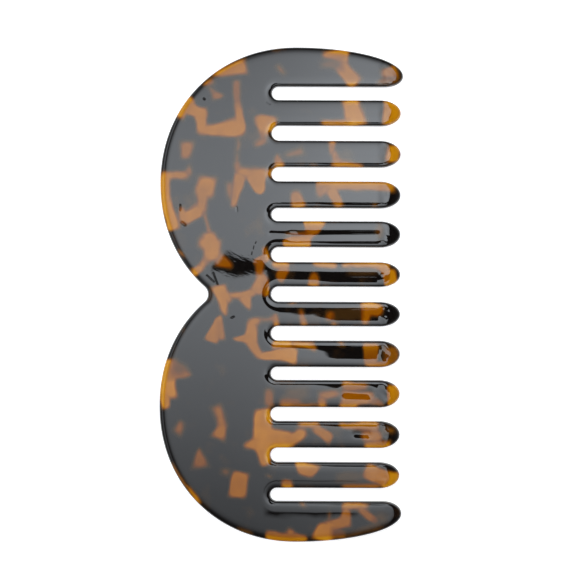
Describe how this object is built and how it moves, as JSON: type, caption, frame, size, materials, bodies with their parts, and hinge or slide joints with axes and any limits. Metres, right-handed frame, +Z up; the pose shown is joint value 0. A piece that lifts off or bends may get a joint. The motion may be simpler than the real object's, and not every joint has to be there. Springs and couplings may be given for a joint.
{
  "type": "wide tooth comb",
  "caption": "Flat double-lobed palm comb of polished tortoiseshell acetate, with wide round-tipped teeth along one side for combing out thick or wet hair.",
  "frame": {"origin": "centre of the comb's bounding box on the surface it lies on", "axes": "+X the way the teeth point, +Y along the comb's length, +Z up out of the flat face"},
  "size_m": [0.0736, 0.15, 0.004],
  "materials": {
    "tortoiseshell_acetate": "polished cellulose acetate, amber flakes in near-black brown"
  },
  "bodies": {
    "root": {"upper_lobe": "tortoiseshell_acetate", "lower_lobe": "tortoiseshell_acetate", "tooth_01": "tortoiseshell_acetate", "tooth_02": "tortoiseshell_acetate", "tooth_03": "tortoiseshell_acetate", "tooth_04": "tortoiseshell_acetate", "tooth_05": "tortoiseshell_acetate", "tooth_06": "tortoiseshell_acetate", "tooth_07": "tortoiseshell_acetate", "tooth_08": "tortoiseshell_acetate", "tooth_09": "tortoiseshell_acetate", "tooth_10": "tortoiseshell_acetate", "tooth_11": "tortoiseshell_acetate", "tooth_12": "tortoiseshell_acetate"}
  },
  "joints": []
}
